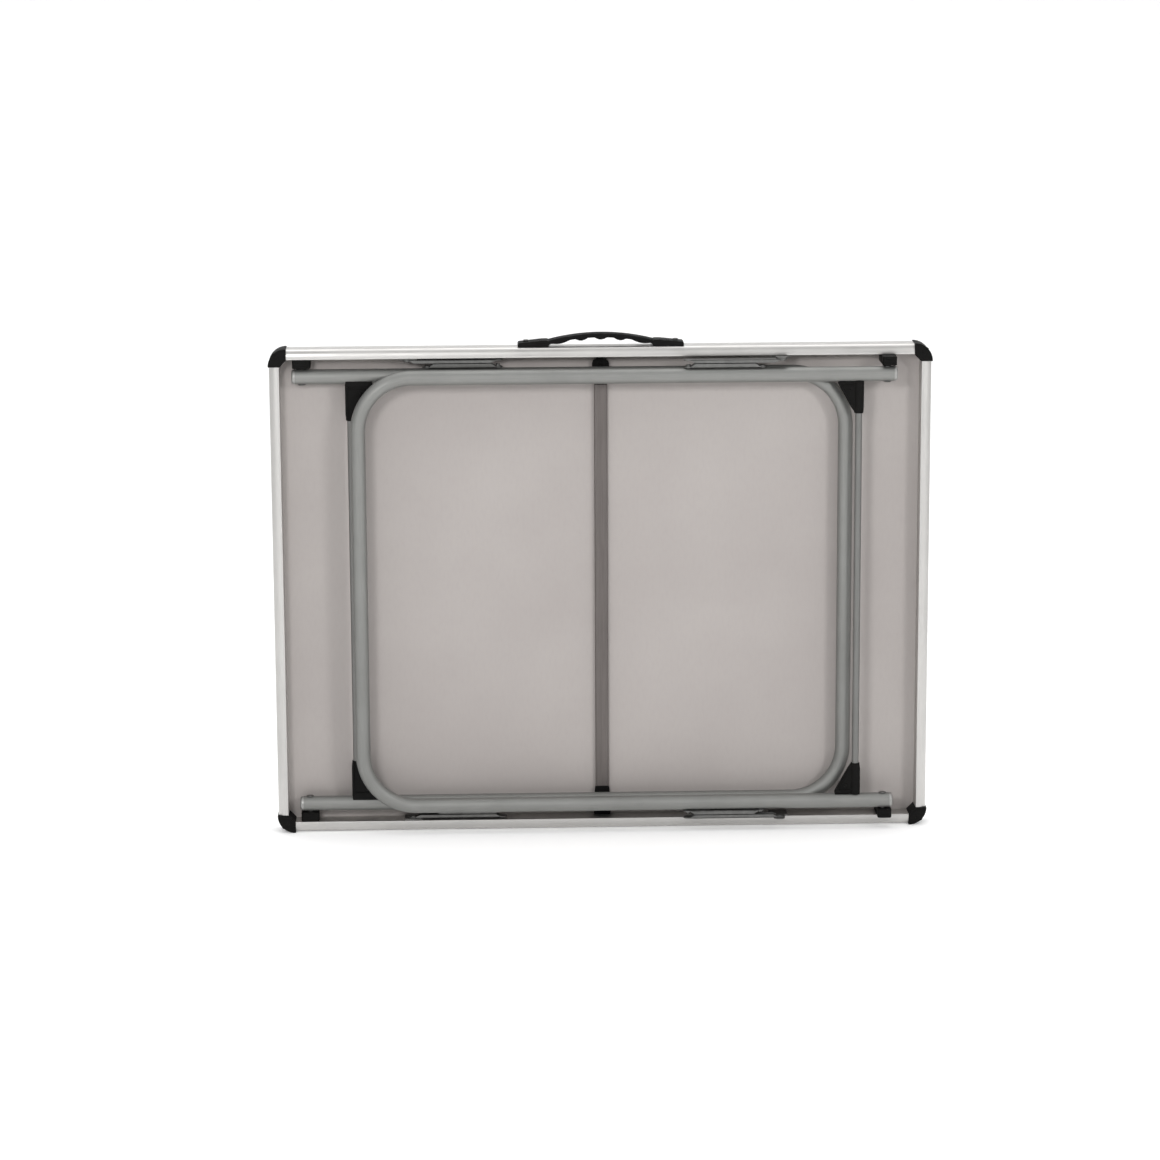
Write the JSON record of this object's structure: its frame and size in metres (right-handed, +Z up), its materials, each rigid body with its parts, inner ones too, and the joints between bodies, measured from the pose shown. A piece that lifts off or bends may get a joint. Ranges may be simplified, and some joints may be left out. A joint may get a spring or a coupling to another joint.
{
  "type": "folding table",
  "caption": "Rectangular folding camping table, folded flat on its long edge: rimmed board, two U-shaped tube leg frames on stays, and a strap handle.",
  "frame": {"origin": "centre of the bounding box's bottom: the long edge that the folded table stands on, midway between its ends and between the tabletop's face and the outer leg tubes", "axes": "+X along the long side, leg frame A hinges at -X; +Y out of the tabletop's face, away from the folded legs; +Z up, towards the handle"},
  "size_m": [0.8, 0.0486, 0.6145],
  "materials": {
    "board_laminate": "pale grey laminate on fibreboard",
    "rim_aluminium": "satin anodised",
    "tube_aluminium": "satin grey anodised",
    "cross_bar_aluminium": "satin grey anodised",
    "centre_bar_metal": "brushed, in shade",
    "zinc_steel": "zinc plated",
    "black_plastic": "moulded black nylon",
    "grip_plastic": "soft black moulding"
  },
  "bodies": {
    "tabletop": {"board": "board_laminate", "rim_top": "rim_aluminium", "rim_bottom": "rim_aluminium", "rim_left": "rim_aluminium", "rim_right": "rim_aluminium", "corner_cap_tl": "black_plastic", "corner_cap_tr": "black_plastic", "corner_cap_bl": "black_plastic", "corner_cap_br": "black_plastic", "corner_screws": "zinc_steel", "centre_bar": "centre_bar_metal", "bar_socket_top": "black_plastic", "bar_socket_bottom": "black_plastic", "pivot_block_a_top": "black_plastic", "pivot_block_a_bottom": "black_plastic", "pivot_block_b_top": "black_plastic", "pivot_block_b_bottom": "black_plastic", "pivot_bolts_a": "zinc_steel", "pivot_bolts_b": "zinc_steel", "stay_bracket_a_top": "zinc_steel", "stay_bracket_a_bottom": "zinc_steel", "stay_bracket_b_top": "zinc_steel", "stay_bracket_b_bottom": "zinc_steel", "stay_rim_rivets_a": "zinc_steel", "stay_rim_rivets_b": "zinc_steel", "handle_grip": "grip_plastic", "handle_cap_left": "black_plastic", "handle_cap_right": "black_plastic", "handle_screws": "zinc_steel"},
    "leg_a": {"leg_a_tube": "tube_aluminium", "leg_a_cross_bar": "cross_bar_aluminium", "leg_a_gusset_top": "black_plastic", "leg_a_gusset_bottom": "black_plastic", "leg_a_end_plugs": "tube_aluminium", "leg_a_stay_rivets": "zinc_steel"},
    "leg_b": {"leg_b_tube": "tube_aluminium", "leg_b_cross_bar": "cross_bar_aluminium", "leg_b_gusset_top": "black_plastic", "leg_b_gusset_bottom": "black_plastic", "leg_b_end_plugs": "tube_aluminium", "leg_b_stay_rivets": "zinc_steel"},
    "rim_arm_a_top": {"rim_arm_a_top": "zinc_steel"},
    "leg_arm_a_top": {"leg_arm_a_top": "zinc_steel", "elbow_rivet_a_top": "zinc_steel"},
    "rim_arm_a_bottom": {"rim_arm_a_bottom": "zinc_steel"},
    "leg_arm_a_bottom": {"leg_arm_a_bottom": "zinc_steel", "elbow_rivet_a_bottom": "zinc_steel"},
    "rim_arm_b_top": {"rim_arm_b_top": "zinc_steel"},
    "leg_arm_b_top": {"leg_arm_b_top": "zinc_steel", "elbow_rivet_b_top": "zinc_steel"},
    "rim_arm_b_bottom": {"rim_arm_b_bottom": "zinc_steel"},
    "leg_arm_b_bottom": {"leg_arm_b_bottom": "zinc_steel", "elbow_rivet_b_bottom": "zinc_steel"}
  },
  "joints": [
    {"name": "leg_b_fold", "type": "hinge", "parent": "tabletop", "child": "leg_b", "pos_m": [0.344, -0.0153, 0.3], "axis": [0, 0, 1], "range_deg": [0, 92]},
    {"name": "leg_a_fold", "type": "hinge", "parent": "tabletop", "child": "leg_a", "pos_m": [-0.36, 0.0033, 0.3], "axis": [0, 0, -1], "range_deg": [0, 88.01]},
    {"name": "rim_arm_a_top_swing", "type": "hinge", "parent": "tabletop", "child": "rim_arm_a_top", "pos_m": [-0.233, 0.0033, 0.583], "axis": [0, 0, -1], "range_deg": [0, 128.9]},
    {"name": "leg_arm_a_top_swing", "type": "hinge", "parent": "leg_a", "child": "leg_arm_a_top", "pos_m": [-0.209, 0.0033, 0.577], "axis": [0, 0, 1], "range_deg": [0, 139.12]},
    {"name": "rim_arm_a_bottom_swing", "type": "hinge", "parent": "tabletop", "child": "rim_arm_a_bottom", "pos_m": [-0.233, 0.0033, 0.017], "axis": [0, 0, -1], "range_deg": [0, 128.9]},
    {"name": "leg_arm_a_bottom_swing", "type": "hinge", "parent": "leg_a", "child": "leg_arm_a_bottom", "pos_m": [-0.209, 0.0033, 0.023], "axis": [0, 0, 1], "range_deg": [0, 139.12]},
    {"name": "rim_arm_b_top_swing", "type": "hinge", "parent": "tabletop", "child": "rim_arm_b_top", "pos_m": [0.217, -0.0153, 0.583], "axis": [0, 0, 1], "range_deg": [0, 131.24]},
    {"name": "leg_arm_b_top_swing", "type": "hinge", "parent": "leg_b", "child": "leg_arm_b_top", "pos_m": [0.193, -0.0153, 0.577], "axis": [0, 0, -1], "range_deg": [0, 140.78]},
    {"name": "rim_arm_b_bottom_swing", "type": "hinge", "parent": "tabletop", "child": "rim_arm_b_bottom", "pos_m": [0.217, -0.0153, 0.017], "axis": [0, 0, 1], "range_deg": [0, 131.24]},
    {"name": "leg_arm_b_bottom_swing", "type": "hinge", "parent": "leg_b", "child": "leg_arm_b_bottom", "pos_m": [0.193, -0.0153, 0.023], "axis": [0, 0, -1], "range_deg": [0, 140.78]}
  ],
  "couplings": [
    {"joint": "leg_a_fold", "follows": "leg_b_fold", "ratio": 0.95652},
    {"joint": "rim_arm_a_top_swing", "follows": "leg_b_fold", "ratio": 1.401},
    {"joint": "leg_arm_a_top_swing", "follows": "leg_b_fold", "ratio": 1.512},
    {"joint": "rim_arm_a_bottom_swing", "follows": "leg_b_fold", "ratio": 1.401},
    {"joint": "leg_arm_a_bottom_swing", "follows": "leg_b_fold", "ratio": 1.512},
    {"joint": "rim_arm_b_top_swing", "follows": "leg_b_fold", "ratio": 1.4265},
    {"joint": "leg_arm_b_top_swing", "follows": "leg_b_fold", "ratio": 1.5301},
    {"joint": "rim_arm_b_bottom_swing", "follows": "leg_b_fold", "ratio": 1.4265},
    {"joint": "leg_arm_b_bottom_swing", "follows": "leg_b_fold", "ratio": 1.5301}
  ]
}
